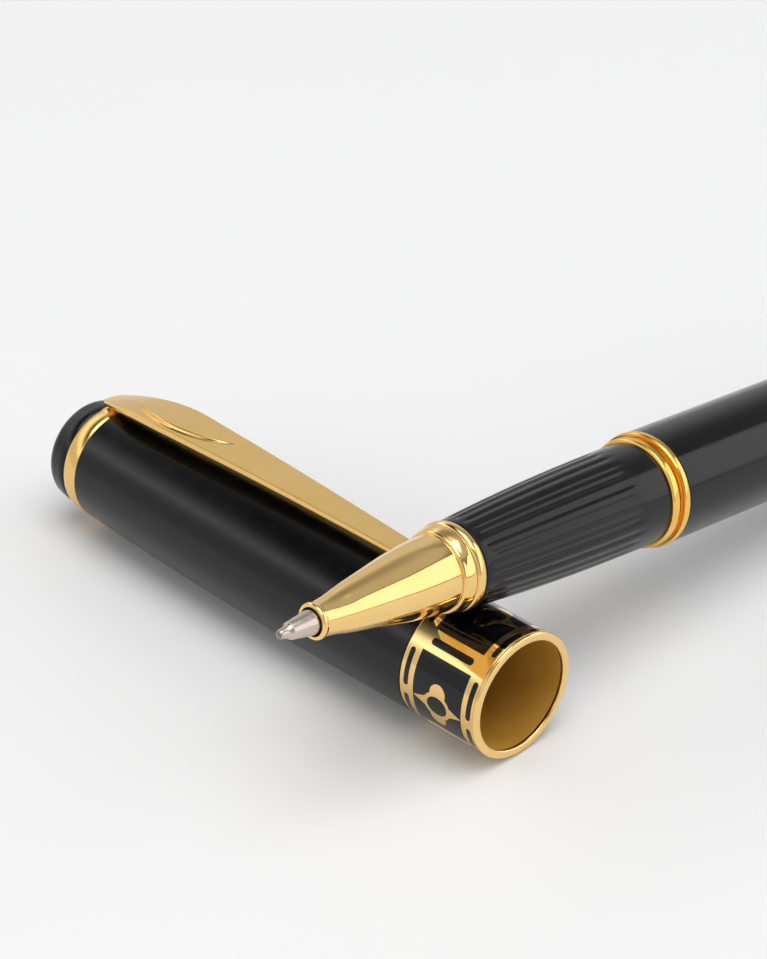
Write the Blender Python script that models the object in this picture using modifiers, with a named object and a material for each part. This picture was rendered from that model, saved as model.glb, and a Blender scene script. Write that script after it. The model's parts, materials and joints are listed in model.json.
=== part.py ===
"""Rollerball pen with its cap off.

The cap lies on its side on the plane z = 0, along Y, with its open mouth towards -Y. The pen lies
across it, along X: its nose is in the air over the cap and its end ring rests on the plane.

Lengths are in millimetres and are turned into metres when a mesh is made. Along the pen a station
is the distance from the tip of the writing ball, and along the cap it is the distance from the
mouth. A turned loop is a list of (station, radius): the outside from front to back, then the
inside from back to front. The loop may close along the axis.
"""

import math

import bmesh
import bpy
from mathutils import Matrix, Vector

MM = 0.001
FACETS = 24
TIP_FACETS = 16
MERGE = 1e-6
SEAT_GAP = 0.05

# Cap
CAP_LENGTH = 66.0
CAP_MAX_R = 7.0
CAP_BELLY = 30.5
LIP_LENGTH = 0.4
LIP_R = 6.8
BORE_R = 5.9
BAND_START = 0.45
BAND_END = 10.3
BAND_R = 6.7
BAND_SEAT_R = 6.25
CAP_TUBE_END = 60.3
CAP_TUBE_END_R = 6.34
CLIP_RING_END = 62.55
CLIP_RING_R = 6.4
LINER_START = 18.0
LINER_END = 54.9

# Clip, as heights above the cap's axis
CLIP_ROLL = math.radians(10.0)
CLIP_FOOT = 62.3
CLIP_TIP = 14.6
CLIP_THICK = 0.8
CLIP_TOP = 9.05
CLIP_FOOT_HEIGHT = 7.35
CLIP_HINGE_STATION = 61.4
CLIP_HINGE_HEIGHT = 6.95
CLIP_MAX_WIDTH = 6.45
CLIP_PAD_STATION = 17.0
CLIP_PAD_GAP = 0.12
CLIP_STEPS = 26

# Pen
PEN_LENGTH = 127.4
BALL_R = 0.35
NOSE_START = 4.3
NOSE_BORE_R = 1.45
CONE_END = 20.5
CONE_END_R = 3.93
COLLAR_END = 22.2
COLLAR_R = 4.45
BEAD_END = 23.45
BEAD_R = 4.65
GRIP_START = 23.5
GRIP_START_R = 4.48
GRIP_END = 49.65
GRIP_END_R = 5.47
SECTION_RING_START = 49.7
SECTION_RING_END = 50.98
BARREL_RING_START = 51.03
BARREL_START = 52.0
BARREL_END = 122.5
BARREL_R = 6.08
BARREL_END_R = 5.55
BARREL_BORE_R = 5.35
FRONT_RING_R = 5.82
RING_R = 6.15
GROOVE_R = 5.52
TAPER_START = 80.0
TAIL_RING_R = 5.75
TAIL_RING_END = 123.8
CORE_R = 3.8
CORE_FRONT_R = 3.28
THREAD_R = 4.7
THREAD_BORE_R = 4.8
THREAD_END = 55.8
INSERT_END = 60.0

# Refill and its spring
REFILL_R = 3.0
REFILL_START = 22.5
REFILL_TUBE_END = 104.0
REFILL_END = 110.3
REFILL_TIP_R = 1.28
WIRE_R = 0.25
COIL_R = 2.0
COIL_TURNS = 5
COIL_START = 110.75
COIL_END = 116.9
POINTS_PER_TURN = 10

# End fittings: bush, screw and button, measured from the end of their tube
WALL = 2.0
BUSH_LENGTH = 1.7
SCREW_HEAD = 1.3
SOCKET_R = 1.6
HOLE_R = 3.1
BUSH_R = 5.0
SHANK_R = 3.0
SCREW_R = 1.5
SCREW_HOLE_R = 1.65
SCREW_HEAD_R = 2.6

# Where the pen crosses the cap
CROSSING_ON_PEN = 24.75
CROSSING_ON_CAP = 8.32
CROSSING_GAP = 0.45


def clear_scene():
    """Remove the objects and collections that the file opened with."""
    for obj in list(bpy.data.objects):
        bpy.data.objects.remove(obj, do_unlink=True)
    for collection in list(bpy.data.collections):
        bpy.data.collections.remove(collection)


def new_collection(name):
    """Make a collection linked to the scene."""
    collection = bpy.data.collections.new(name)
    bpy.context.scene.collection.children.link(collection)
    return collection


def new_material(name, color, roughness, metallic):
    """A Principled material of one colour."""
    mat = bpy.data.materials.new(name)
    mat.use_nodes = True
    shader = mat.node_tree.nodes["Principled BSDF"]
    shader.inputs["Base Color"].default_value = (*color, 1.0)
    shader.inputs["Roughness"].default_value = roughness
    shader.inputs["Metallic"].default_value = metallic
    return mat


def make_materials():
    """The finishes of the pen."""
    return {
        "gold": new_material("gold_plate", (0.83, 0.60, 0.22), 0.16, 1.0),
        "lacquer": new_material("black_lacquer", (0.012, 0.012, 0.013), 0.12, 0.0),
        "brass": new_material("brass", (0.72, 0.52, 0.24), 0.32, 1.0),
        "nickel": new_material("nickel_silver", (0.68, 0.60, 0.53), 0.25, 1.0),
        "steel": new_material("spring_steel", (0.55, 0.55, 0.56), 0.28, 1.0),
        "liner": new_material("black_plastic", (0.02, 0.02, 0.02), 0.45, 0.0),
        "refill": new_material("refill_plastic", (0.10, 0.11, 0.14), 0.35, 0.0),
        "felt": new_material("ink_wick", (0.05, 0.05, 0.09), 0.9, 0.0),
        "ball": new_material("carbide_ball", (0.25, 0.25, 0.26), 0.12, 1.0),
    }


def grip_radius(station):
    """Outside of the grip: it swells quickly behind the nose and then flattens."""
    share = (station - GRIP_START) / (GRIP_END - GRIP_START)
    return GRIP_START_R + (GRIP_END_R - GRIP_START_R) * (1.0 - (1.0 - share) ** 2.2)


def cap_radius(station):
    """Outside of the cap tube: a slight belly between the band and the clip ring."""
    if station < CAP_BELLY:
        share = (CAP_BELLY - station) / (CAP_BELLY - BAND_END)
        return CAP_MAX_R - (CAP_MAX_R - BAND_R - 0.03) * share ** 1.7
    share = (station - CAP_BELLY) / (CAP_TUBE_END - CAP_BELLY)
    return CAP_MAX_R - (CAP_MAX_R - CAP_TUBE_END_R) * share ** 2


def barrel_radius(station):
    """Outside of the barrel: straight, then a gentle taper to the end ring."""
    if station < TAPER_START:
        return BARREL_R
    share = (station - TAPER_START) / (BARREL_END - TAPER_START)
    return BARREL_R - (BARREL_R - BARREL_END_R) * share ** 1.5


def curve_points(radius_at, start, end, count):
    """Evenly spaced (station, radius) points of a curved outside."""
    points = []
    for i in range(count + 1):
        station = start + (end - start) * i / count
        points.append((station, radius_at(station)))
    return points


def pen_pose():
    """Slope of the pen and height of its axis where it crosses the cap."""
    spread = BAND_R + CROSSING_GAP + grip_radius(CROSSING_ON_PEN)
    slope = 0.1
    for _ in range(40):
        height = CAP_MAX_R + spread / math.cos(slope)
        drop = height - TAIL_RING_R * math.cos(slope)
        slope = math.asin(drop / (TAIL_RING_END - CROSSING_ON_PEN))
    return slope, height


def crossing_x(slope):
    """X of the cap's axis that centres the whole object on the origin."""
    front = (CROSSING_ON_PEN - BALL_R) * math.cos(slope) + BALL_R
    backs = [(s - CROSSING_ON_PEN) * math.cos(slope) + r * math.sin(slope) for s, r in tail_button()]
    return (front - max(backs)) / 2


def rotation_from(x_axis, z_axis):
    """Rotation with the given X and Z axes."""
    y_axis = z_axis.cross(x_axis)
    return Matrix((x_axis, y_axis, z_axis)).transposed()


def new_frame(name, location, rotation, parent=None):
    """An empty that carries a group of pieces, placed in its parent's axes."""
    empty = bpy.data.objects.new(name, None)
    empty.empty_display_size = 0.01
    PARTS.objects.link(empty)
    empty.parent = parent
    empty.location = Vector(location) * MM
    empty.rotation_euler = rotation.to_euler()
    return empty


def link_piece(obj, frame, mat):
    """Link an object, parent it to its frame and give it its material."""
    PARTS.objects.link(obj)
    obj.parent = frame
    obj.data.materials.append(mat)
    return obj


def turned(name, loop, frame, mat, facets=FACETS):
    """A solid turned about the frame's Z axis, which points to the front."""
    vertices = [(radius * MM, 0.0, -station * MM) for station, radius in loop]
    count = len(loop)
    edges = []
    for i in range(count):
        j = (i + 1) % count
        if loop[i][1] > 0.0 or loop[j][1] > 0.0:
            edges.append((i, j))
    mesh = bpy.data.meshes.new(name)
    mesh.from_pydata(vertices, edges, [])
    obj = link_piece(bpy.data.objects.new(name, mesh), frame, mat)
    screw = obj.modifiers.new("Turn", "SCREW")
    screw.axis = "Z"
    screw.angle = math.tau
    screw.steps = facets
    screw.render_steps = facets
    screw.use_merge_vertices = True
    screw.merge_threshold = MERGE
    screw.use_smooth_shade = True
    obj.modifiers.new("Flat end faces", "WEIGHTED_NORMAL")


# ---------------------------------------------------------------- end fittings


def end_bush(name, tube_end, frame, mat):
    """Flanged bush that holds the end button's screw in the wall of a tube."""
    flange = tube_end - WALL - BUSH_LENGTH
    shoulder = tube_end - WALL - SEAT_GAP
    end = tube_end - 0.2
    outside = [(flange, BUSH_R), (shoulder, BUSH_R), (shoulder, SHANK_R), (end, SHANK_R)]
    turned(name, outside + [(end, SCREW_HOLE_R), (flange, SCREW_HOLE_R)], frame, mat)


def end_screw(name, tube_end, tip, frame, mat):
    """Headed screw from the bush into the end button, with a driver recess in its head."""
    neck = tube_end - WALL - BUSH_LENGTH - SEAT_GAP
    head = neck - SCREW_HEAD
    outside = [(head, SCREW_HEAD_R), (neck, SCREW_HEAD_R), (neck, SCREW_R), (tip, SCREW_R)]
    inside = [(tip, 0.0), (head + 0.7, 0.0), (head + 0.7, 1.0), (head, 1.0)]
    turned(name, outside + inside, frame, mat)


def end_ring(name, start, outside, frame, mat):
    """Gold ring between a tube and its end button, as a washer round the screw."""
    end = outside[-1][0]
    turned(name, outside + [(end, SCREW_HOLE_R), (start, SCREW_HOLE_R)], frame, mat)


def end_button(name, outside, socket_end, frame, mat):
    """Domed end button with a blind socket for its screw."""
    start = outside[0][0]
    end = outside[-1][0]
    inside = [(end, 0.0), (socket_end, 0.0), (socket_end, SOCKET_R), (start, SOCKET_R)]
    turned(name, outside + inside, frame, mat)


# ---------------------------------------------------------------- cap


def cap_button():
    """Outside of the cap's end button."""
    start = CLIP_RING_END + SEAT_GAP
    return [
        (start, 5.85),
        (start + 0.3, 5.98),
        (start + 1.4, 5.92),
        (start + 2.3, 5.74),
        (start + 2.8, 5.35),
        (start + 3.15, 4.4),
        (CAP_LENGTH - 0.08, 3.2),
        (CAP_LENGTH, 2.2),
    ]


def make_cap_tube(frame, mats):
    """Lacquered tube: a seat for the band in front, an end wall with a hole behind."""
    front = LIP_LENGTH + SEAT_GAP
    wall = CAP_TUBE_END - WALL
    outside = [(front, BAND_SEAT_R), (BAND_END + SEAT_GAP, BAND_SEAT_R)]
    outside += curve_points(cap_radius, BAND_END + SEAT_GAP, CAP_TUBE_END, 9)
    inside = [(CAP_TUBE_END, HOLE_R), (wall, HOLE_R), (wall, BORE_R), (front, BORE_R)]
    turned("cap_tube", outside + inside, frame, mats["lacquer"])


def make_cap_band(frame, mats):
    """Gold band round the mouth end of the tube."""
    inner = BAND_SEAT_R + SEAT_GAP
    loop = [
        (BAND_START, BAND_R - 0.06),
        (BAND_START + 0.12, BAND_R),
        (BAND_END - 0.12, BAND_R),
        (BAND_END, BAND_R - 0.06),
        (BAND_END, inner),
        (BAND_START, inner),
    ]
    turned("cap_band", loop, frame, mats["gold"])


def make_cap_lip(frame, mats):
    """Rounded gold rim of the mouth, with a flat front face."""
    loop = [
        (0.0, BORE_R + 0.12),
        (0.0, LIP_R - 0.3),
        (0.07, LIP_R - 0.1),
        (0.2, LIP_R),
        (0.33, LIP_R - 0.04),
        (LIP_LENGTH, LIP_R - 0.15),
        (LIP_LENGTH, BORE_R),
        (0.12, BORE_R),
    ]
    turned("cap_lip_ring", loop, frame, mats["gold"])


def make_cap_liner(frame, mats):
    """Plastic inner cap: a thin cup that holds the section and seals the nose."""
    outer = BORE_R - SEAT_GAP
    loop = [
        (LINER_START, outer - 0.1),
        (LINER_START + 0.3, outer),
        (LINER_END, outer),
        (LINER_END, 0.0),
        (LINER_END - 1.2, 0.0),
        (LINER_END - 1.2, 4.6),
        (LINER_END - 2.2, 5.2),
        (LINER_START, 5.35),
    ]
    turned("cap_liner", loop, frame, mats["liner"])


def clip_height(station):
    """Height of the clip's middle surface above the cap's axis."""
    arch = 50.0
    slope = 42.0
    top = CLIP_TOP - CLIP_THICK / 2
    foot = CLIP_FOOT_HEIGHT - CLIP_THICK / 2
    if station > arch:
        return top - (top - foot) * ((station - arch) / (CLIP_FOOT - arch)) ** 2.1
    if station > slope:
        return top
    return top - 0.5 * ((slope - station) / (slope - CLIP_TIP)) ** 1.6


def clip_width(station):
    """Full width of the clip: a narrow neck, a wide shoulder and a long taper to the tip."""
    shoulder = 51.5
    neck = 2.5
    if station > shoulder:
        share = (station - shoulder) / (CLIP_FOOT - shoulder)
        return neck + (CLIP_MAX_WIDTH - neck) * (1.0 - share ** 2.2)
    width = 2.9 + (CLIP_MAX_WIDTH - 2.9) * ((station - CLIP_TIP) / (shoulder - CLIP_TIP)) ** 1.05
    nose = min(1.0, (station - CLIP_TIP) / 1.5)
    return width * (0.45 + 0.55 * math.sqrt(1.0 - (1.0 - nose) ** 2))


def make_clip_pad(frame):
    """Round pad under the clip's tip, which grips cloth against the tube."""
    bottom = cap_radius(CLIP_PAD_STATION) + CLIP_PAD_GAP
    top = clip_height(CLIP_PAD_STATION) + 0.3
    middle = (bottom + top) / 2
    mesh = bpy.data.meshes.new("clip_pad")
    shape = bmesh.new()
    bmesh.ops.create_uvsphere(shape, u_segments=12, v_segments=8, radius=1.0)
    size = Vector((top - middle, 1.05, 1.7)) * MM
    bmesh.ops.scale(shape, vec=size, verts=shape.verts)
    bmesh.ops.translate(shape, vec=Vector((middle, 0.0, -CLIP_PAD_STATION)) * MM, verts=shape.verts)
    shape.to_mesh(mesh)
    shape.free()
    pad = bpy.data.objects.new("clip_pad", mesh)
    CUTTER_SET.objects.link(pad)
    pad.parent = frame
    pad.hide_render = True
    pad.display_type = "WIRE"
    return pad


def make_clip(cap_frame, mats):
    """Sprung clip: a strip of changing width, thickened, with a pad under its tip."""
    anchor = Vector((CLIP_HINGE_HEIGHT, 0.0, -CLIP_HINGE_STATION))
    hinge = new_frame("clip_hinge", anchor, Matrix.Identity(3), cap_frame)
    offset = -anchor * MM
    mesh = bpy.data.meshes.new("clip")
    strip = bmesh.new()
    bmesh.ops.create_grid(strip, x_segments=2, y_segments=CLIP_STEPS, size=1.0)
    for vertex in strip.verts:
        share = (vertex.co.y + 1.0) / 2
        station = CLIP_TIP + (CLIP_FOOT - CLIP_TIP) * share
        side = vertex.co.x * clip_width(station) / 2
        vertex.co = Vector((clip_height(station), side, -station)) * MM + offset
    bmesh.ops.recalc_face_normals(strip, faces=strip.faces)
    strip.to_mesh(mesh)
    strip.free()
    clip = link_piece(bpy.data.objects.new("clip", mesh), hinge, mats["gold"])
    solid = clip.modifiers.new("Thickness", "SOLIDIFY")
    solid.thickness = CLIP_THICK * MM
    solid.offset = 0.0
    pad = make_clip_pad(cap_frame)
    union = clip.modifiers.new("Pad", "BOOLEAN")
    union.operation = "UNION"
    union.object = pad
    union.solver = "EXACT"


def make_cap(frame, mats):
    """Every piece of the cap."""
    make_cap_lip(frame, mats)
    make_cap_band(frame, mats)
    make_cap_tube(frame, mats)
    make_cap_liner(frame, mats)
    end_bush("cap_bush", CAP_TUBE_END, frame, mats["brass"])
    end_screw("cap_screw", CAP_TUBE_END, CLIP_RING_END + 1.5, frame, mats["steel"])
    ring_start = CAP_TUBE_END + SEAT_GAP
    ring = [
        (ring_start, CLIP_RING_R - 0.12),
        (ring_start + 0.3, CLIP_RING_R),
        (ring_start + 1.2, CLIP_RING_R - 0.04),
        (CLIP_RING_END - 0.25, CLIP_RING_R - 0.25),
        (CLIP_RING_END, CLIP_RING_R - 0.42),
    ]
    end_ring("clip_ring", ring_start, ring, frame, mats["gold"])
    end_button("cap_finial", cap_button(), CLIP_RING_END + 1.8, frame, mats["lacquer"])
    make_clip(frame, mats)


# ---------------------------------------------------------------- section


def make_nose_cone(frame, mats):
    """Gold nose: rolled rim, cone and round collar, bored for the refill and the core."""
    loop = [
        (NOSE_START, 1.62),
        (NOSE_START + 0.1, 1.78),
        (NOSE_START + 0.35, 1.84),
        (NOSE_START + 0.6, 1.76),
        (NOSE_START + 0.75, 1.74),
        (9.3, 2.47),
        (14.9, 3.38),
        (17.5, 3.70),
        (CONE_END, CONE_END_R),
        (CONE_END + 0.08, CONE_END_R - 0.1),
        (CONE_END + 0.16, CONE_END_R - 0.09),
        (CONE_END + 0.22, 4.08),
        (CONE_END + 0.6, 4.25),
        (CONE_END + 1.1, COLLAR_R - 0.05),
        (CONE_END + 1.5, COLLAR_R),
        (COLLAR_END, COLLAR_R - 0.1),
        (COLLAR_END, CORE_FRONT_R + 0.1),
        (18.0, CORE_FRONT_R + 0.1),
        (18.0, 2.75),
        (15.5, 2.55),
        (8.0, NOSE_BORE_R),
        (NOSE_START, NOSE_BORE_R),
    ]
    turned("nose_cone", loop, frame, mats["gold"])


def make_nose_ring(frame, mats):
    """Gold bead between the collar and the grip."""
    start = COLLAR_END + SEAT_GAP
    loop = [
        (start, BEAD_R - 0.3),
        (start + 0.2, BEAD_R - 0.08),
        (start + 0.5, BEAD_R),
        (start + 0.8, BEAD_R - 0.05),
        (BEAD_END, BEAD_R - 0.22),
        (BEAD_END, CORE_FRONT_R + 0.1),
        (start, CORE_FRONT_R + 0.1),
    ]
    turned("nose_ring", loop, frame, mats["gold"])


def make_section_core(frame, mats):
    """Brass tube through the section, with the male thread that screws into the barrel."""
    step = GRIP_START + SEAT_GAP
    shoulder = GRIP_END + 0.1
    loop = [
        (18.15, CORE_FRONT_R),
        (step, CORE_FRONT_R),
        (step, CORE_R),
        (shoulder, CORE_R),
        (shoulder, THREAD_R),
        (THREAD_END - 0.4, THREAD_R),
        (THREAD_END, THREAD_R - 0.4),
        (THREAD_END, REFILL_R + 0.2),
        (REFILL_START - 0.1, REFILL_R + 0.2),
        (REFILL_START - 0.1, 2.8),
        (18.15, 2.8),
    ]
    turned("section_core", loop, frame, mats["brass"])


def make_grip(frame, mats):
    """Black grip sleeve over the core."""
    outside = curve_points(grip_radius, GRIP_START, GRIP_END, 9)
    inside = [(GRIP_END, CORE_R + SEAT_GAP), (GRIP_START, CORE_R + SEAT_GAP)]
    turned("grip_sleeve", outside + inside, frame, mats["lacquer"])


def make_section_ring(frame, mats):
    """Front gold ring, loose round the core, with the neck of the groove behind it."""
    loop = [
        (SECTION_RING_START, FRONT_RING_R - 0.22),
        (SECTION_RING_START + 0.1, FRONT_RING_R - 0.05),
        (SECTION_RING_START + 0.2, FRONT_RING_R),
        (SECTION_RING_START + 0.78, FRONT_RING_R + 0.03),
        (SECTION_RING_START + 0.84, GROOVE_R),
        (SECTION_RING_END, GROOVE_R),
        (SECTION_RING_END, THREAD_BORE_R),
        (SECTION_RING_START, THREAD_BORE_R),
    ]
    turned("section_ring", loop, frame, mats["gold"])


# ---------------------------------------------------------------- refill


def make_refill_tip(frame, mats):
    """Metal writing tip with a socket for the ball and a bore for the wick."""
    loop = [
        (0.22, 0.42),
        (1.45, 0.80),
        (1.5, 0.88),
        (4.0, 1.24),
        (4.6, REFILL_TIP_R),
        (12.4, REFILL_TIP_R),
        (12.4, 0.68),
        (2.2, 0.68),
        (2.2, 0.14),
        (0.78, 0.14),
        (0.6, 0.34),
        (0.38, 0.37),
        (0.22, 0.345),
    ]
    turned("refill_tip", loop, frame, mats["nickel"], TIP_FACETS)


def make_refill_shoulder(frame, mats):
    """Plastic front of the refill: it holds the tip and plugs into the ink tube."""
    loop = [
        (10.0, 1.6),
        (15.0, 2.25),
        (REFILL_START - 0.05, 2.6),
        (REFILL_START - 0.05, 2.5),
        (26.0, 2.5),
        (26.0, 0.68),
        (12.5, 0.68),
        (12.5, REFILL_TIP_R + SEAT_GAP),
        (10.0, REFILL_TIP_R + SEAT_GAP),
    ]
    turned("refill_shoulder", loop, frame, mats["refill"])


def make_refill_tube(frame, mats):
    """Metal ink tube."""
    loop = [
        (REFILL_START, REFILL_R),
        (REFILL_TUBE_END, REFILL_R),
        (REFILL_TUBE_END, REFILL_R - 0.4),
        (REFILL_START, REFILL_R - 0.4),
    ]
    turned("refill_tube", loop, frame, mats["steel"])


def make_refill_plug(frame, mats):
    """Plastic plug at the back of the ink tube, with a spigot for the spring."""
    seat = REFILL_TUBE_END + SEAT_GAP
    loop = [
        (100.0, 0.0),
        (100.0, 2.5),
        (seat, 2.5),
        (seat, REFILL_R),
        (REFILL_END - 0.3, REFILL_R),
        (REFILL_END, REFILL_R - 0.3),
        (REFILL_END, 1.5),
        (REFILL_END + 2.0, 1.4),
        (REFILL_END + 2.0, 0.0),
    ]
    turned("refill_plug", loop, frame, mats["refill"])


def make_refill_wick(frame, mats):
    """Fibre wick that feeds ink to the ball."""
    loop = [(2.4, 0.0), (2.4, 0.5), (3.0, 0.6), (40.0, 0.6), (40.0, 0.0)]
    turned("refill_wick", loop, frame, mats["felt"], TIP_FACETS)


def make_ball(frame, mats):
    """Writing ball, with its origin at its centre."""
    centre = new_frame("ball_centre", (0.0, 0.0, -BALL_R), Matrix.Identity(3), frame)
    mesh = bpy.data.meshes.new("writing_ball")
    shape = bmesh.new()
    bmesh.ops.create_uvsphere(shape, u_segments=16, v_segments=10, radius=BALL_R * MM)
    shape.to_mesh(mesh)
    shape.free()
    mesh.shade_smooth()
    link_piece(bpy.data.objects.new("writing_ball", mesh), centre, mats["ball"])


def make_spring(frame, mats):
    """Helical spring between the refill and the end of the barrel."""
    curve = bpy.data.curves.new("refill_spring", "CURVE")
    curve.dimensions = "3D"
    curve.bevel_depth = WIRE_R * MM
    curve.bevel_resolution = 2
    curve.use_fill_caps = True
    count = COIL_TURNS * POINTS_PER_TURN + 1
    spline = curve.splines.new("POLY")
    spline.points.add(count - 1)
    for i, point in enumerate(spline.points):
        share = i / (count - 1)
        angle = math.tau * COIL_TURNS * share
        station = COIL_START + (COIL_END - COIL_START) * share
        x = COIL_R * math.cos(angle)
        y = COIL_R * math.sin(angle)
        point.co = (x * MM, y * MM, -station * MM, 1.0)
    link_piece(bpy.data.objects.new("refill_spring", curve), frame, mats["steel"])


# ---------------------------------------------------------------- barrel


def tail_button():
    """Outside of the barrel's end button."""
    start = TAIL_RING_END + SEAT_GAP
    return [
        (start, 5.3),
        (start + 0.3, 5.4),
        (start + 1.5, 5.3),
        (start + 2.4, 5.05),
        (start + 2.95, 4.6),
        (start + 3.3, 3.8),
        (PEN_LENGTH - 0.08, 2.9),
        (PEN_LENGTH, 2.1),
    ]


def make_barrel_ring(frame, mats):
    """Rear gold ring, on the mouth of the barrel."""
    loop = [
        (BARREL_RING_START, GROOVE_R),
        (BARREL_RING_START + 0.05, RING_R - 0.1),
        (BARREL_RING_START + 0.25, RING_R),
        (BARREL_START - 0.25, RING_R),
        (BARREL_START - SEAT_GAP, RING_R - 0.1),
        (BARREL_START - SEAT_GAP, THREAD_BORE_R),
        (BARREL_RING_START, THREAD_BORE_R),
    ]
    turned("barrel_ring", loop, frame, mats["gold"])


def make_barrel_insert(frame, mats):
    """Brass insert in the barrel's mouth, bored for the section's thread."""
    loop = [
        (BARREL_START, BARREL_BORE_R - SEAT_GAP),
        (INSERT_END, BARREL_BORE_R - SEAT_GAP),
        (INSERT_END, THREAD_BORE_R),
        (BARREL_START, THREAD_BORE_R),
    ]
    turned("barrel_insert", loop, frame, mats["brass"])


def make_barrel_tube(frame, mats):
    """Lacquered barrel with an end wall."""
    wall = BARREL_END - WALL
    outside = [(BARREL_START, BARREL_R)] + curve_points(barrel_radius, TAPER_START, BARREL_END, 7)
    inside = [
        (BARREL_END, HOLE_R),
        (wall, HOLE_R),
        (wall, BARREL_END_R - 0.5),
        (100.0, BARREL_BORE_R),
        (BARREL_START, BARREL_BORE_R),
    ]
    turned("barrel_tube", outside + inside, frame, mats["lacquer"])


def make_barrel(frame, mats):
    """Every piece of the barrel."""
    make_barrel_ring(frame, mats)
    make_barrel_insert(frame, mats)
    make_barrel_tube(frame, mats)
    end_bush("tail_bush", BARREL_END, frame, mats["brass"])
    end_screw("tail_screw", BARREL_END, TAIL_RING_END + 1.6, frame, mats["steel"])
    ring_start = BARREL_END + SEAT_GAP
    ring = [
        (ring_start, TAIL_RING_R - 0.1),
        (ring_start + 0.25, TAIL_RING_R),
        (TAIL_RING_END - 0.25, TAIL_RING_R),
        (TAIL_RING_END, TAIL_RING_R - 0.15),
    ]
    end_ring("tail_ring", ring_start, ring, frame, mats["gold"])
    end_button("tail_finial", tail_button(), TAIL_RING_END + 1.9, frame, mats["lacquer"])


def make_pen(frame, mats):
    """Section, refill and barrel along one axis."""
    make_nose_cone(frame, mats)
    make_nose_ring(frame, mats)
    make_section_core(frame, mats)
    make_grip(frame, mats)
    make_section_ring(frame, mats)
    make_refill_tip(frame, mats)
    make_refill_shoulder(frame, mats)
    make_refill_tube(frame, mats)
    make_refill_plug(frame, mats)
    make_refill_wick(frame, mats)
    make_ball(frame, mats)
    make_spring(frame, mats)
    make_barrel(frame, mats)


def main():
    """Place the cap and the pen and build their pieces."""
    mats = make_materials()
    slope, height = pen_pose()
    x_cap = crossing_x(slope)
    mouth_y = -CAP_LENGTH / 2

    up = Vector((math.sin(CLIP_ROLL), 0.0, math.cos(CLIP_ROLL)))
    cap_turn = rotation_from(up, Vector((0.0, -1.0, 0.0)))
    cap_frame = new_frame("cap_axis", (x_cap, mouth_y, CAP_MAX_R), cap_turn)
    make_cap(cap_frame, mats)

    forward = Vector((-math.cos(slope), 0.0, math.sin(slope)))
    crossing = Vector((x_cap, mouth_y + CROSSING_ON_CAP, height))
    pen_turn = rotation_from(Vector((math.sin(slope), 0.0, math.cos(slope))), forward)
    pen_frame = new_frame("pen_axis", crossing + forward * CROSSING_ON_PEN, pen_turn)
    make_pen(pen_frame, mats)


clear_scene()
PARTS = new_collection("rollerball_pen")
CUTTER_SET = new_collection("cutters")
main()
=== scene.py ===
"""Looks of the rollerball pen: fine turned surfaces, band ornament, fluted grip, clip, finishes.

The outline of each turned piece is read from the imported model, so the fine piece has the size and
place of the CAD node that it replaces. Lengths are in millimetres and turned into metres by MM,
apart from the studio and the view. Along the pen a station is the distance from the tip of the
ball, and along the cap it is the distance from the mouth. An angle is measured round the axis,
from the top of the pen and from the clip of the cap.
"""

import json
import math

import bmesh
import bpy
from mathutils import Matrix, Vector

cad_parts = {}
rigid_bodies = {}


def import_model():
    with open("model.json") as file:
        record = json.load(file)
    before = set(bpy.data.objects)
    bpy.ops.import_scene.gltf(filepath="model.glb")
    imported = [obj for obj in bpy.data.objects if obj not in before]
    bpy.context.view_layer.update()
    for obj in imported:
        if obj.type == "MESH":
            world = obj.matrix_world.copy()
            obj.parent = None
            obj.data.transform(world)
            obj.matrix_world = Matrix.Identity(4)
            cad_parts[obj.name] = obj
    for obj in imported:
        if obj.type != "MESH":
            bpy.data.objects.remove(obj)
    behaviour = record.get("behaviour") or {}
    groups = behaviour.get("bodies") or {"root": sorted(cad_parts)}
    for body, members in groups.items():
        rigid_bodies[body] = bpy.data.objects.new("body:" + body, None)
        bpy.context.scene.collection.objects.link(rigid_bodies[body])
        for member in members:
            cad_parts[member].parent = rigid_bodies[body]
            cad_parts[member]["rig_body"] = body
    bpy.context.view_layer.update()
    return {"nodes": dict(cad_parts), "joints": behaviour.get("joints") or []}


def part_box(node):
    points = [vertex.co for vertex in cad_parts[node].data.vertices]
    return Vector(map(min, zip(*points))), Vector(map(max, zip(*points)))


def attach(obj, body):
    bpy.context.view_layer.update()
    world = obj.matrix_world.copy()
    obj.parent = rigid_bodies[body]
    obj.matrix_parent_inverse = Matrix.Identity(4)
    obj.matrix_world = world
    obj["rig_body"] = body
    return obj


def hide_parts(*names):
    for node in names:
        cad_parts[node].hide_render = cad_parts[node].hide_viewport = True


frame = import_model()

MM = 0.001
MERGE = 1e-6
ON_AXIS = 0.01
JOINTS = {joint["name"]: joint for joint in frame["joints"]}

# Turned pieces
FINE = 192
PLAIN = 96
EDGE = 0.07
SHARP_TURN = math.radians(18.0)
SHORT_TURN = math.radians(52.0)
SHORT_STRETCH = 1.3
ARC_STEPS = 4

# Linings: the faces of a tube inside this radius have the second finish
CAP_LINING = 5.95
BARREL_LINING = 5.4

# Grip flutes, with their fades as distances from the sleeve's front and back
FLUTES = 26
FLUTE_DEPTH = 0.13
FLUTE_FRONT = (0.35, 1.6)
FLUTE_BACK = (5.6, 3.4)
GRIP_SKIN = 4.2

# Thread of the section
PITCH = 0.75
THREAD_DEPTH = 0.36
THREAD_SKIN = 0.6
THREAD_FADE = (0.3, 0.8)

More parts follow.
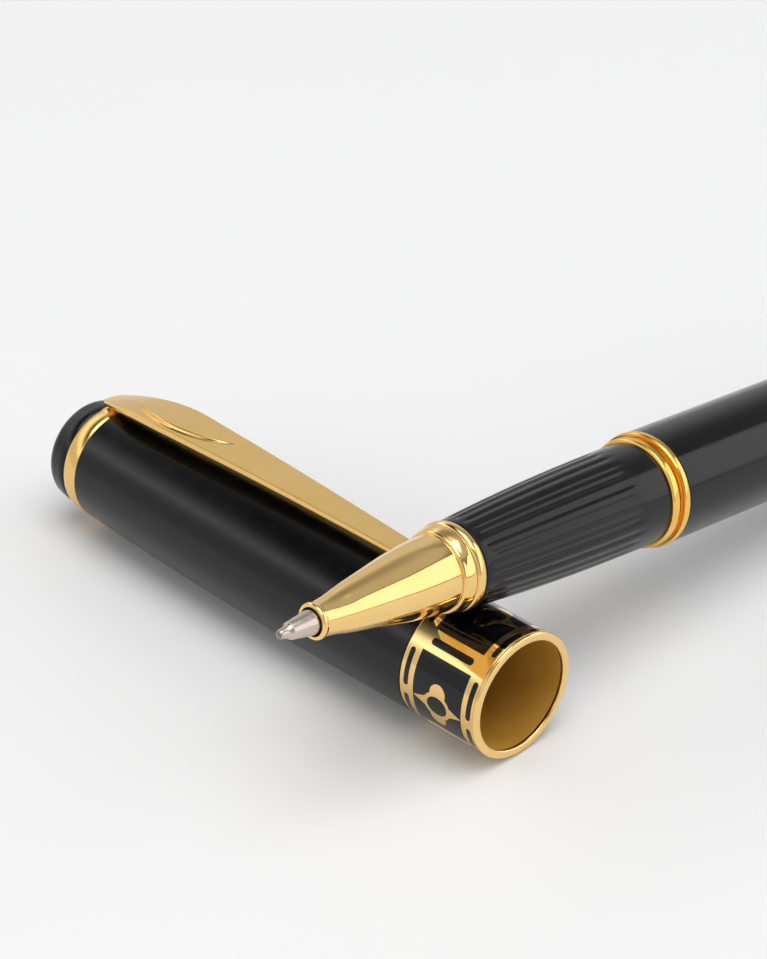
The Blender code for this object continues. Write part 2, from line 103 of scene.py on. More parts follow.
# Band ornament, as stations along the cap and degrees round it
PANEL_PITCH = 104.5
BAR_HALF = 9.9
PANEL_FRONT = 1.95
PANEL_BACK = 8.45
SLOT_ROWS = (1.02, 9.45)
SLOT_HALF = 0.31
SLOT_NEAR = 4.6
SLOT_FAR = 40.0
MOTIF_POINT = 3.24
MOTIF_POINT_HALF = 1.25
MOTIF_LOBE_PLACE = 1.45
MOTIF_LOBE = 1.02
MOTIF_BODY = (1.75, 1.5)
MOTIF_HOLE = (1.32, 1.05)
PILL_HALF = 0.4
PILL_REACH = 2.75
INLAY = 0.035
BAND_RIM = 0.14
BAND_EDGE = 0.05
BAND_CUTS = 240

# Clip, as stations along the cap and heights above its axis
CLIP_FOOT = 62.3
CLIP_TIP = 14.6
CLIP_THICK = 0.8
CLIP_TOP = 9.05
CLIP_FOOT_HEIGHT = 7.35
CLIP_ARCH = 50.0
CLIP_SLOPE = 42.0
CLIP_SHOULDER = 51.5
CLIP_WIDTH = 6.45
CLIP_NECK = 2.5
CLIP_PAD_STATION = 17.0
CLIP_TIP_WIDTH = 2.9
CLIP_TIP_DROP = 0.5
CLIP_CROWN = 0.05
CLIP_BEVEL = 0.09
CLIP_ACROSS = 112
CLIP_ROWS = 400
PAD_BOTTOM = 6.97
LUG_HEIGHT = 0.17
LUG_EDGE = (9.0, 15.0)
LUG_SKIN = 5.5
SCOOP_START = 43.6
SCOOP_END = 57.6
SCOOP_DEPTH = 0.4

# Studio, in metres and watts. A sky list holds (sine of the elevation, share of SKY_LEVEL). An
# edge list holds (cosine of the angle from the view's right or left, share of that sky).
SKY_LEVEL = 2.0
SIDE_EDGE = [(0.0, 0.0), (0.12, 0.0), (0.42, 1.0)]
RIGHT_EDGE = [(0.12, 0.0), (0.42, 1.0), (0.69, 1.0), (0.7, 0.0)]
PANEL_EDGE = [(0.0, 0.0), (0.712, 0.0), (0.722, 1.0)]
MIDDLE_SKY = [
    (0.0, 0.32), (0.3, 0.36), (0.53, 0.36), (0.66, 0.22), (0.78, 0.16), (0.87, 0.16), (0.94, 0.5),
]
LEFT_SKY = [
    (0.0, 0.36), (0.28, 0.36), (0.4, 0.55), (0.49, 0.9), (0.58, 0.6), (0.69, 0.12), (0.78, 0.02),
    (0.88, 0.02), (0.94, 0.5),
]
RIGHT_SKY = [
    (0.0, 0.4), (0.02, 0.3), (0.5, 0.16), (0.66, 0.14), (0.7, 0.28), (0.88, 0.28), (0.94, 0.5),
]
PANEL_SKY = [(0.0, 0.06), (0.012, 0.06), (0.02, 0.8), (0.9, 0.8)]
CEILING_SIZE = 0.7
CEILING_POWER = 3.6
CEILING_PLACE = Vector((-0.1, -0.2, 0.85))
FLOOR_HALF = 2.0
FLOOR_DROP = 0.00002

# View, in degrees and metres, with the aim measured from the foot of the cap's mouth
CAMERA_AZIMUTH = 45.32
CAMERA_ELEVATION = 32.04
CAMERA_DISTANCE = 0.33
CAMERA_AIM = Vector((0.01609, 0.03555, 0.009))
LENS = 144.71
SENSOR = 36.0


# ---------------------------------------------------------------- places


def axis_place(origin, front, side):
    """Matrix of an axis: local Z runs to the front, X up and Y to the side."""
    up = side.cross(front)
    turn = Matrix((up, side, front)).transposed()
    return Matrix.Translation(origin) @ turn.to_4x4()


def pen_place():
    """The pen's axis, from the tip of its ball."""
    low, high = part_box("writing_ball")
    front = Vector(JOINTS["thread_travel"]["axis"]).normalized()
    tip = Vector(JOINTS["ball_roll"]["pos_m"]) + front * (high.z - low.z) / 2
    return axis_place(tip, front, Vector((0.0, 1.0, 0.0)))


def cap_place():
    """The cap's axis, from the middle of its mouth."""
    low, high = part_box("cap_lip_ring")
    mouth = Vector(((low.x + high.x) / 2, low.y, (low.z + high.z) / 2))
    side = Vector(JOINTS["clip_flex"]["axis"]).normalized()
    return axis_place(mouth, Vector((0.0, -1.0, 0.0)), side)


PEN = pen_place()
CAP = cap_place()


def smooth_step(value, low, high):
    """0 below low, 1 above high, and an even slope between."""
    share = min(1.0, max(0.0, (value - low) / (high - low)))
    return share * share * (3.0 - 2.0 * share)


# ---------------------------------------------------------------- materials


def node_material(name, color, roughness, metallic):
    """A Principled material with its tree, shader and object coordinates in millimetres."""
    mat = bpy.data.materials.new(name)
    mat.use_nodes = True
    tree = mat.node_tree
    shader = tree.nodes["Principled BSDF"]
    shader.inputs["Base Color"].default_value = (*color, 1.0)
    shader.inputs["Roughness"].default_value = roughness
    shader.inputs["Metallic"].default_value = metallic
    place = tree.nodes.new("ShaderNodeTexCoord")
    scale = tree.nodes.new("ShaderNodeVectorMath")
    scale.operation = "SCALE"
    scale.inputs["Scale"].default_value = 1.0 / MM
    tree.links.new(place.outputs["Object"], scale.inputs[0])
    return mat, tree, shader, scale.outputs["Vector"]


def noise(tree, place, size, detail=3.0, stretch=(1.0, 1.0, 1.0)):
    """Noise whose features are about the given size in millimetres."""
    mapping = tree.nodes.new("ShaderNodeMapping")
    mapping.inputs["Scale"].default_value = [1.0 / (size * part) for part in stretch]
    texture = tree.nodes.new("ShaderNodeTexNoise")
    texture.inputs["Scale"].default_value = 1.0
    texture.inputs["Detail"].default_value = detail
    tree.links.new(place, mapping.inputs["Vector"])
    tree.links.new(mapping.outputs["Vector"], texture.inputs["Vector"])
    return texture.outputs["Fac"]


def spread(tree, value, low, high, center=0.5, width=0.25):
    """Map noise round its middle to the range from low to high."""
    remap = tree.nodes.new("ShaderNodeMapRange")
    remap.inputs["From Min"].default_value = center - width
    remap.inputs["From Max"].default_value = center + width
    remap.inputs["To Min"].default_value = low
    remap.inputs["To Max"].default_value = high
    tree.links.new(value, remap.inputs["Value"])
    return remap.outputs["Result"]


def tint(tree, value, shader, first, second):
    """Drift the base colour between two close tones."""
    mix = tree.nodes.new("ShaderNodeMix")
    mix.data_type = "RGBA"
    mix.inputs[6].default_value = (*first, 1.0)
    mix.inputs[7].default_value = (*second, 1.0)
    tree.links.new(spread(tree, value, 0.0, 1.0), mix.inputs[0])
    tree.links.new(mix.outputs[2], shader.inputs["Base Color"])


def relief(tree, shader, heights):
    """Chain bump nodes: each height is (value, depth in millimetres)."""
    normal = None
    for value, depth in heights:
        bump = tree.nodes.new("ShaderNodeBump")
        bump.inputs["Strength"].default_value = 1.0
        bump.inputs["Distance"].default_value = depth * MM
        tree.links.new(value, bump.inputs["Height"])
        if normal:
            tree.links.new(normal, bump.inputs["Normal"])
        normal = bump.outputs["Normal"]
    tree.links.new(normal, shader.inputs["Normal"])


def gold_material(name, first, second, roughness, grain):
    """Gold plate: tone drift, handling haze in the gloss and fine polishing lines."""
    mat, tree, shader, place = node_material(name, first, roughness, 1.0)
    tint(tree, noise(tree, place, 6.0), shader, first, second)
    haze = noise(tree, place, 1.6, 5.0)
    tree.links.new(spread(tree, haze, roughness * 0.75, roughness * 1.45), shader.inputs["Roughness"])
    lines = noise(tree, place, 0.09, 2.0, (1.0, 1.0, 9.0))
    relief(tree, shader, [(noise(tree, place, 1.6, 1.0), grain * 0.5), (lines, grain * 0.03)])
    return mat


def lacquer_material(name, color, roughness, peel):
    """Black lacquer: a clear coat with a faint orange peel over a slightly drifting black."""
    mat, tree, shader, place = node_material(name, color, roughness, 0.0)
    lighter = [part * 1.6 + 0.0008 for part in color]
    tint(tree, noise(tree, place, 9.0), shader, color, lighter)
    haze = noise(tree, place, 2.2, 6.0)
    tree.links.new(spread(tree, haze, roughness * 0.8, roughness * 1.5), shader.inputs["Roughness"])
    shader.inputs["Specular IOR Level"].default_value = 0.3
    shader.inputs["Coat Weight"].default_value = 0.1
    shader.inputs["Coat Roughness"].default_value = 0.04
    wave = noise(tree, place, 1.4, 1.0)
    dust = noise(tree, place, 0.12, 2.0)
    relief(tree, shader, [(wave, peel), (dust, peel * 0.05)])
    return mat


def turned_material(name, first, second, roughness, groove):
    """Bare turned metal: fine rings round the axis, with stains in the tone."""
    mat, tree, shader, place = node_material(name, first, roughness, 1.0)
    tint(tree, noise(tree, place, 1.8, 4.0), shader, first, second)
    haze = noise(tree, place, 0.7, 4.0)
    tree.links.new(spread(tree, haze, roughness * 0.8, roughness * 1.4), shader.inputs["Roughness"])
    rings = noise(tree, place, 0.06, 2.0, (400.0, 400.0, 1.0))
    relief(tree, shader, [(rings, groove)])
    return mat


def plastic_material(name, first, second, roughness, grain):
    """Moulded plastic with a soft grain."""
    mat, tree, shader, place = node_material(name, first, roughness, 0.0)
    tint(tree, noise(tree, place, 4.0), shader, first, second)
    haze = noise(tree, place, 0.9)
    tree.links.new(spread(tree, haze, roughness * 0.85, roughness * 1.2), shader.inputs["Roughness"])
    relief(tree, shader, [(noise(tree, place, 0.15, 2.0), grain)])
    return mat


def wick_material():
    """Bonded fibres along the wick, soaked with ink."""
    mat, tree, shader, place = node_material("ink_wick", (0.03, 0.03, 0.07), 0.85, 0.0)
    fibres = noise(tree, place, 0.05, 2.0, (1.0, 1.0, 30.0))
    tint(tree, fibres, shader, (0.02, 0.02, 0.05), (0.07, 0.07, 0.13))
    relief(tree, shader, [(fibres, 0.03)])
    return mat


def make_materials():
    """Every finish of the pen."""
    return {
        "gold": gold_material("gold_polished", (0.86, 0.58, 0.22), (0.91, 0.64, 0.27), 0.08, 0.0012),
        "satin": gold_material("gold_satin", (0.84, 0.54, 0.17), (0.88, 0.58, 0.2), 0.19, 0.0008),
        "deep_gold": gold_material("gold_deep", (0.86, 0.52, 0.12), (0.92, 0.58, 0.16), 0.16, 0.0015),
        "lacquer": lacquer_material("lacquer_black", (0.0018, 0.0018, 0.002), 0.16, 0.0009),
        "grip": lacquer_material("lacquer_grip", (0.0025, 0.0025, 0.0027), 0.2, 0.0014),
        "button": lacquer_material("lacquer_button", (0.002, 0.002, 0.0022), 0.24, 0.001),
        "enamel": lacquer_material("enamel_black", (0.0012, 0.0012, 0.0013), 0.08, 0.0006),
        "brass": turned_material("brass_turned", (0.50, 0.31, 0.10), (0.42, 0.24, 0.07), 0.34, 0.004),
        "lining": plastic_material("bore_lining", (0.46, 0.24, 0.03), (0.54, 0.30, 0.05), 0.4, 0.002),
        "nickel": turned_material("nickel_turned", (0.62, 0.53, 0.46), (0.53, 0.44, 0.38), 0.22, 0.003),
        "steel": turned_material("steel_plain", (0.55, 0.55, 0.56), (0.46, 0.46, 0.47), 0.28, 0.002),
        "ball": turned_material("ball_carbide", (0.22, 0.22, 0.23), (0.3, 0.3, 0.31), 0.14, 0.0003),
        "liner": plastic_material(
            "liner_plastic", (0.016, 0.016, 0.016), (0.026, 0.025, 0.024), 0.42, 0.004
        ),
        "refill": plastic_material("refill_plastic", (0.07, 0.075, 0.1), (0.1, 0.11, 0.14), 0.35, 0.003),
        "wick": wick_material(),
    }


MATS = make_materials()


# ---------------------------------------------------------------- turned pieces


def cad_outline(node, place):
    """A CAD node's outline as (station, radius): outside from front to back, then inside."""
    local = place.inverted()
    shape = bmesh.new()
    shape.from_mesh(frame["nodes"][node].data)
    bmesh.ops.remove_doubles(shape, verts=shape.verts, dist=MERGE)
    points = {}
    for vertex in shape.verts:
        spot = local @ vertex.co / MM
        if abs(spot.y) < ON_AXIS and spot.x > -ON_AXIS:
            points[vertex] = (-spot.z, max(0.0, spot.x))
    near = {vertex: [] for vertex in points}
    for edge in shape.edges:
        first, second = edge.verts
        if first in points and second in points:
            near[first].append(second)
            near[second].append(first)
    ends = [vertex for vertex in points if len(near[vertex]) == 1]
    start = ends[0] if ends else next(iter(points))
    chain = [start]
    while True:
        step = [vertex for vertex in near[chain[-1]] if vertex not in chain]
        if not step:
            break
        chain.append(step[0])
    loop = [points[vertex] for vertex in chain]
    if ends:
        loop = [(loop[0][0], 0.0)] + loop + [(loop[-1][0], 0.0)]
    shape.free()
    area = 0.0
    for (s0, r0), (s1, r1) in zip(loop, loop[1:] + loop[:1]):
        area += s0 * r1 - s1 * r0
    return loop[::-1] if area > 0.0 else loop


def is_corner(turn, before, after):
    """True where two stretches of an outline meet at an edge and not in a curve."""
    limit = SHORT_TURN if max(before, after) < SHORT_STRETCH else SHARP_TURN
    return turn > limit


def flow(loop, edge, step):
    """Round the corners of an outline, curve its gentle bends and split its long stretches."""
    points = [Vector(point) for point in loop]
    count = len(points)
    open_ends = points[0].y < ON_AXIS and points[-1].y < ON_AXIS
    knots = []
    for i, point in enumerate(points):
        before = point - points[i - 1]
        after = points[(i + 1) % count] - point
        if open_ends and i in (0, count - 1):
            tangent = after.normalized() if i == 0 else before.normalized()
            knots.append((point, tangent, point, tangent))
            continue
        turn = before.angle(after)
        into, out = before.normalized(), after.normalized()
        if is_corner(turn, before.length, after.length):
            cut = min(edge * math.tan(turn / 2), 0.38 * before.length, 0.38 * after.length)
            knots.append((point - into * cut, into, point + out * cut, out))
        else:
            tangent = (into + out).normalized()
            knots.append((point, tangent, point, tangent))
    result = []
    for i, (arrive, into, leave, out) in enumerate(knots):
        if (leave - arrive).length > 0.0:
            for k in range(ARC_STEPS):
                share = k / ARC_STEPS
                side = (1 - share) ** 2 * arrive + 2 * share * (1 - share) * points[i] + share ** 2 * leave
                result.append(side)
        if open_ends and i == count - 1:
            result.append(leave)
            break
        target, toward = knots[(i + 1) % count][:2]
        span = target - leave
        bend = out.angle(toward)
        parts = max(1, math.ceil(math.degrees(bend) / 3.0))
        if step:
            parts = max(parts, math.ceil(span.length / step))
        for k in range(parts):
            share = k / parts
            lift = (2 * share ** 3 - 3 * share ** 2 + 1) * leave
            lift += (3 * share ** 2 - 2 * share ** 3) * target
            pull = (share ** 3 - 2 * share ** 2 + share) * out + (share ** 3 - share ** 2) * toward
            result.append(lift + pull * span.length)
    return [(point.x, max(0.0, point.y)) for point in result]


def lathe(name, loop, place, mats, segments, shape=None, inner=0.0):
    """Turn an outline into a mesh. Faces inside the inner radius take the second material."""
    vertices, rings, faces, slots = [], [], [], []
    for station, radius in loop:
        start = len(vertices)
        if radius < ON_AXIS:
            vertices.append((0.0, 0.0, -station * MM))
            rings.append([start] * segments)
            continue
        for i in range(segments):
            angle = math.tau * i / segments
            reach = radius + (shape(station, radius, angle) if shape else 0.0)
            vertices.append((reach * MM * math.cos(angle), reach * MM * math.sin(angle), -station * MM))
        rings.append(list(range(start, start + segments)))
    for k, ring in enumerate(rings):
        below = rings[(k + 1) % len(rings)]
        radius = max(loop[k][1], loop[(k + 1) % len(loop)][1])
        if radius < ON_AXIS:
            continue
        for i in range(segments):
            j = (i + 1) % segments
            face = list(dict.fromkeys((ring[i], below[i], below[j], ring[j])))
            faces.append(face)
            slots.append(1 if radius < inner else 0)
    mesh = bpy.data.meshes.new(name)
    mesh.from_pydata(vertices, [], faces)
    mesh.polygons.foreach_set("material_index", slots)
    mesh.shade_smooth()
    obj = bpy.data.objects.new(name, mesh)
    bpy.context.scene.collection.objects.link(obj)
    obj.matrix_world = place
    for mat in mats:
        mesh.materials.append(mat)
    flat = obj.modifiers.new("Clean highlights", "WEIGHTED_NORMAL")
    flat.weight = 70
    return obj


def keep(piece, node):
    """Let a fine piece stand for a CAD node: same body, and the node hidden."""
    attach(piece, frame["nodes"][node]["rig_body"])
    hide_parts(node)
    return piece


def turned(node, place, mats, segments=FINE, edge=EDGE, step=None, shape=None, inner=0.0):
    """Fine copy of a turned CAD node."""
    loop = flow(cad_outline(node, place), edge, step)
    piece = lathe(node + "_fine", loop, place, [MATS[name] for name in mats], segments, shape, inner)
    return keep(piece, node)


# ---------------------------------------------------------------- grip and thread


def stations(node, place):
    """Front and back station of a CAD node along an axis."""
    loop = cad_outline(node, place)
    return min(s for s, r in loop), max(s for s, r in loop)


def make_grip():
    """Grip sleeve with round-bottomed flutes that fade out before the gold rings."""
    start, end = stations("grip_sleeve", PEN)

    def flute(station, radius, angle):
        if radius < GRIP_SKIN:
            return 0.0
        fade = smooth_step(station, start + FLUTE_FRONT[0], start + FLUTE_FRONT[1])
        fade *= 1.0 - smooth_step(station, end - FLUTE_BACK[0], end - FLUTE_BACK[1])
        wave = 0.5 + 0.5 * math.cos(FLUTES * angle)
        return -FLUTE_DEPTH * fade * wave ** 1.6

    return turned("grip_sleeve", PEN, ["grip"], FLUTES * 16, 0.06, 0.45, flute)


def make_core():
    """Brass core of the section with its right-handed thread."""
    outline = cad_outline("section_core", PEN)
    top = max(r for s, r in outline)
    start = min(s for s, r in outline if r > top - EDGE)

    def ridge(station, radius, angle):
        if radius < top - THREAD_SKIN or station < start - ON_AXIS:
            return 0.0
        phase = (-station / PITCH - angle / math.tau) % 1.0
        depth = THREAD_DEPTH * (1.0 - abs(2.0 * phase - 1.0))
        fade = smooth_step(station, start + THREAD_FADE[0], start + THREAD_FADE[1])
        return -depth * fade

    return turned("section_core", PEN, ["brass"], PLAIN, 0.05, 0.09, ridge)


# ---------------------------------------------------------------- clip


def clip_height(station):
    """Height of the clip's middle surface above the cap's axis."""
    top = CLIP_TOP - CLIP_THICK / 2
    foot = CLIP_FOOT_HEIGHT - CLIP_THICK / 2
    if station > CLIP_ARCH:
        return top - (top - foot) * ((station - CLIP_ARCH) / (CLIP_FOOT - CLIP_ARCH)) ** 2.1
    if station > CLIP_SLOPE:
        return top
    return top - CLIP_TIP_DROP * ((CLIP_SLOPE - station) / (CLIP_SLOPE - CLIP_TIP)) ** 1.6


def clip_half(station):
    """Half width of the clip: a narrow neck, a wide shoulder and a long taper to the tip."""
    if station > CLIP_SHOULDER:
        share = (station - CLIP_SHOULDER) / (CLIP_FOOT - CLIP_SHOULDER)
        return (CLIP_NECK + (CLIP_WIDTH - CLIP_NECK) * (1.0 - share ** 2.2)) / 2
    share = (station - CLIP_TIP) / (CLIP_SHOULDER - CLIP_TIP)
    width = CLIP_TIP_WIDTH + (CLIP_WIDTH - CLIP_TIP_WIDTH) * share ** 1.05
    nose = min(1.0, (station - CLIP_TIP) / 1.5)
    return width * (0.3 + 0.7 * math.sqrt(1.0 - (1.0 - nose) ** 2)) / 2


def scoop(station, side):
    """Depth of the crescent hollow in the clip's shoulder: steep at its inner edge, then rising."""
    share = (station - SCOOP_START) / (SCOOP_END - SCOOP_START)
    if not 0.0 < share < 1.0:
        return 0.0
    base = 1.25 * share - 1.1
    bow = math.sin(math.pi * share) ** 0.8
    full = math.sqrt(1.0 - (2.0 * share - 1.0) ** 2) if share < 0.5 else bow
    inner = base + 2.15 * bow
    outer = base + 3.45 * full
    across = (side - inner) / max(0.05, outer - inner)
    if not 0.0 < across < 1.0:
        return 0.0
    wall = smooth_step(across, 0.0, 0.2)
    rise = 1.0 - smooth_step(across, 0.1, 1.0)
    return SCOOP_DEPTH * wall * rise * min(1.0, 1.3 * bow)


def clip_section(station):
    """Closed outline of the clip at a station, as (side, height) from its top surface down."""
    half = clip_half(station)
    height = clip_height(station)
    thick = CLIP_THICK / 2 * (0.55 + 0.45 * smooth_step(station, CLIP_TIP, CLIP_TIP + 1.2))
    ring = []
    for i in range(CLIP_ACROSS + 1):
        share = 1.0 - 2.0 * i / CLIP_ACROSS
        side = (half - CLIP_BEVEL) * share
        crown = CLIP_CROWN * (1.0 - share ** 2)
        ring.append((side, height + thick - CLIP_CROWN + crown - scoop(station, side)))
    inset = half - CLIP_BEVEL
    corners = [(-inset, 1), (-inset, -1), (inset, -1), (inset, 1)]
    for middle, sense in corners:
        outward = -1.0 if middle < 0.0 else 1.0
        first = 90.0 if (outward < 0.0) == (sense > 0) else 0.0
        for k in range(1, 4):
            turn = math.radians(first - 22.5 * k if first else 22.5 * k)
            side = middle + outward * CLIP_BEVEL * math.cos(turn)
            rise = thick - CLIP_CROWN - CLIP_BEVEL + CLIP_BEVEL * math.sin(turn)
            ring.append((side, height + sense * rise))
    return ring


def make_clip():
    """Clip as a loft of sections from tip to foot."""
    vertices, faces = [], []
    for k in range(CLIP_ROWS + 1):
        station = CLIP_TIP + (CLIP_FOOT - CLIP_TIP) * k / CLIP_ROWS
        for side, height in clip_section(station):
            vertices.append((height * MM, side * MM, -station * MM))
    count = len(vertices) // (CLIP_ROWS + 1)
    for k in range(CLIP_ROWS):
        for i in range(count):
            j = (i + 1) % count
            faces.append((k * count + i, k * count + j, (k + 1) * count + j, (k + 1) * count + i))
    faces.append(tuple(range(count)))
    faces.append(tuple(CLIP_ROWS * count + i for i in reversed(range(count))))
    mesh = bpy.data.meshes.new("clip_fine")
    mesh.from_pydata(vertices, [], faces)
    shape = bmesh.new()
    shape.from_mesh(mesh)
    bmesh.ops.recalc_face_normals(shape, faces=shape.faces)
    shape.to_mesh(mesh)
    shape.free()
    mesh.shade_smooth()
    mesh.set_sharp_from_angle(angle=math.radians(50.0))
    mesh.materials.append(MATS["satin"])
    clip = bpy.data.objects.new("clip_fine", mesh)
    bpy.context.scene.collection.objects.link(clip)
    clip.matrix_world = CAP
    return keep(clip, "clip")


def make_clip_pad():
    """Round pad under the clip's tip."""
    top = clip_height(CLIP_PAD_STATION) + 0.25
    mesh = bpy.data.meshes.new("clip_pad")
    shape = bmesh.new()
    bmesh.ops.create_uvsphere(shape, u_segments=48, v_segments=24, radius=1.0)
    size = Vector(((top - PAD_BOTTOM) / 2, 1.0, 1.65)) * MM
    bmesh.ops.scale(shape, vec=size, verts=shape.verts)
    middle = Vector(((top + PAD_BOTTOM) / 2, 0.0, -CLIP_PAD_STATION)) * MM
    bmesh.ops.translate(shape, vec=middle, verts=shape.verts)
    shape.to_mesh(mesh)
    shape.free()
    mesh.shade_smooth()
    mesh.materials.append(MATS["gold"])
    pad = bpy.data.objects.new("clip_pad", mesh)
    bpy.context.scene.collection.objects.link(pad)
    pad.matrix_world = CAP
    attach(pad, "clip")


def lug(station, radius, angle):
    """Raised lug of the clip ring, under the foot of the clip."""
    if radius < LUG_SKIN:
        return 0.0
    turn = math.degrees(abs((angle + math.pi) % math.tau - math.pi))
    return LUG_HEIGHT * (1.0 - smooth_step(turn, *LUG_EDGE))


# ---------------------------------------------------------------- band


def motif_reach(angle):
    """Distance from the motif's centre to its outline: two points and two round lobes."""

    def inside(distance):
        along = abs(distance * math.cos(angle))
        across = abs(distance * math.sin(angle))
        if math.hypot(along, across - MOTIF_LOBE_PLACE) < MOTIF_LOBE:
            return True
        if math.hypot(along / MOTIF_BODY[0], across / MOTIF_BODY[1]) < 1.0:
            return True
        if along >= MOTIF_POINT:
            return False
        return across < MOTIF_POINT_HALF * (1.0 - along / MOTIF_POINT) ** 1.25 + 0.04

    low, high = 0.5, 3.6
    for _ in range(24):
        middle = (low + high) / 2
        if inside(middle):
            low = middle
        else:
            high = middle
    return low


def pill(center_s, center_a, half_s, half_a):
    """Slot with round ends, as (station, arc) points."""
    radius = min(half_s, half_a)
    points = []
    for k in range(32):
        turn = math.tau * (k + 0.5) / 32
        s, a = radius * math.cos(turn), radius * math.sin(turn)
        s += math.copysign(half_s - radius, s)
        a += math.copysign(half_a - radius, a)
        points.append((center_s + s, center_a + a))
    return points


def box_outline(s0, s1, a0, a1):
    """Corners of a rectangle in (station, arc)."""
    return [(s0, a0), (s1, a0), (s1, a1), (s0, a1)]


def band_outlines(front, back, radius):
    """Every outline of the gold openwork, unrolled flat. The seam lies in a crossbar."""
    arc = math.radians(1.0) * radius
    seam = PANEL_PITCH * 1.5 + BAR_HALF * 0.55
    middle = (PANEL_FRONT + PANEL_BACK) / 2
    outlines = [box_outline(front, back, 0.0, 360.0 * arc)]

    def at(degrees):
        return (degrees - seam) % 360.0 * arc

    for panel in (-PANEL_PITCH, 0.0, PANEL_PITCH):
        half = (PANEL_PITCH / 2 - BAR_HALF) * arc
        outlines.append(box_outline(PANEL_FRONT, PANEL_BACK, at(panel) - half, at(panel) + half))
        motif = []
        for k in range(160):
            turn = math.tau * k / 160
            reach = motif_reach(turn)
            motif.append((middle + reach * math.cos(turn), at(panel) + reach * math.sin(turn)))
        outlines.append(motif)
        outlines.append([
            (
                middle + MOTIF_HOLE[0] * math.cos(math.tau * k / 64),
                at(panel) + MOTIF_HOLE[1] * math.sin(math.tau * k / 64),
            )
            for k in range(64)
        ])
        for row in SLOT_ROWS:
            for side in (-1.0, 1.0):
                place = at(panel + side * (SLOT_NEAR + SLOT_FAR) / 2)
                outlines.append(pill(row, place, SLOT_HALF, (SLOT_FAR - SLOT_NEAR) / 2 * arc))
    rest = (360.0 - 3.0 * PANEL_PITCH) / 2 - BAR_HALF
    outlines.append(box_outline(PANEL_FRONT, PANEL_BACK, at(180.0 - rest), at(180.0 + rest)))
    for row in SLOT_ROWS:
        outlines.append(pill(row, at(180.0), SLOT_HALF, (rest - 1.0) * arc))
    for bar in (-1.5, -0.5, 0.5, 1.5):
        outlines.append(pill(middle, at(bar * PANEL_PITCH), PILL_REACH, PILL_HALF))
    return outlines, seam, arc


def make_openwork(front, back, radius):
    """Gold openwork of the band: a flat pattern, cut fine, rolled round the cap and thickened."""
    outlines, seam, arc = band_outlines(front, back, radius)
    curve = bpy.data.curves.new("openwork_flat", "CURVE")
    curve.dimensions = "2D"
    curve.fill_mode = "BOTH"
    for outline in outlines:
        spline = curve.splines.new("POLY")
        spline.points.add(len(outline) - 1)
        spline.use_cyclic_u = True
        for point, (station, along) in zip(spline.points, outline):
            point.co = (station, along, 0.0, 1.0)
    flat = bpy.data.objects.new("openwork_flat", curve)
    bpy.context.scene.collection.objects.link(flat)
    bpy.context.view_layer.update()
    source = flat.evaluated_get(bpy.context.evaluated_depsgraph_get())
    mesh = bpy.data.meshes.new_from_object(source)
    mesh.name = "band_openwork"
    bpy.data.objects.remove(flat)
    shape = bmesh.new()
    shape.from_mesh(mesh)
    bmesh.ops.remove_doubles(shape, verts=shape.verts, dist=1e-4)
    for k in range(1, BAND_CUTS):
        cut = 360.0 * arc * k / BAND_CUTS
        everything = shape.verts[:] + shape.edges[:] + shape.faces[:]
        place = (0.0, cut, 0.0)
        bmesh.ops.bisect_plane(shape, geom=everything, dist=1e-4, plane_co=place, plane_no=(0.0, 1.0, 0.0))
    for vertex in shape.verts:
        station, along = vertex.co.x, vertex.co.y
        turn = along / radius + math.radians(seam)
        vertex.co = Vector((radius * math.cos(turn), radius * math.sin(turn), -station)) * MM
    bmesh.ops.remove_doubles(shape, verts=shape.verts, dist=1e-7)
    bmesh.ops.recalc_face_normals(shape, faces=shape.faces)
    sample = shape.faces[0]
    if sample.normal.dot(Vector((*sample.calc_center_median().xy, 0.0))) < 0.0:
        bmesh.ops.reverse_faces(shape, faces=shape.faces)
    shape.to_mesh(mesh)
    shape.free()
    mesh.shade_smooth()
    mesh.materials.clear()
    mesh.materials.append(MATS["gold"])
    openwork = bpy.data.objects.new("band_openwork", mesh)
    bpy.context.scene.collection.objects.link(openwork)
    openwork.matrix_world = CAP
    solid = openwork.modifiers.new("Thickness", "SOLIDIFY")
    solid.thickness = 0.07 * MM
    solid.offset = -1.0
    crisp = openwork.modifiers.new("Sharp edges", "EDGE_SPLIT")
    crisp.split_angle = math.radians(40.0)
    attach(openwork, "cap")


def make_band():
    """Band of the cap: gold body, black enamel in its hollow and gold openwork over it."""
    outline = cad_outline("cap_band", CAP)
    radius = max(r for s, r in outline)
    bore = min(r for s, r in outline)
    front = min(s for s, r in outline)
    back = max(s for s, r in outline)
    seat = radius - INLAY * 2
    body = [
        (front, radius - BAND_EDGE),
        (front + BAND_EDGE, radius - 0.001),
        (front + BAND_RIM, radius - 0.001),
        (front + BAND_RIM, seat - 0.03),
        (back - BAND_RIM, seat - 0.03),
        (back - BAND_RIM, radius - 0.001),
        (back - BAND_EDGE, radius - 0.001),
        (back, radius - BAND_EDGE),
        (back, bore),
        (front, bore),
    ]
    keep(lathe("cap_band_fine", body, CAP, [MATS["gold"]], FINE), "cap_band")
    inset = BAND_RIM + 0.005
    fill = [
        (front + inset, radius - INLAY),
        (back - inset, radius - INLAY),
        (back - inset, seat - 0.025),
        (front + inset, seat - 0.025),
    ]
    enamel = lathe("band_enamel", fill, CAP, [MATS["enamel"]], FINE)
    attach(enamel, "cap")
    make_openwork(front + BAND_RIM * 0.9, back - BAND_RIM * 0.9, radius)


# ---------------------------------------------------------------- pieces


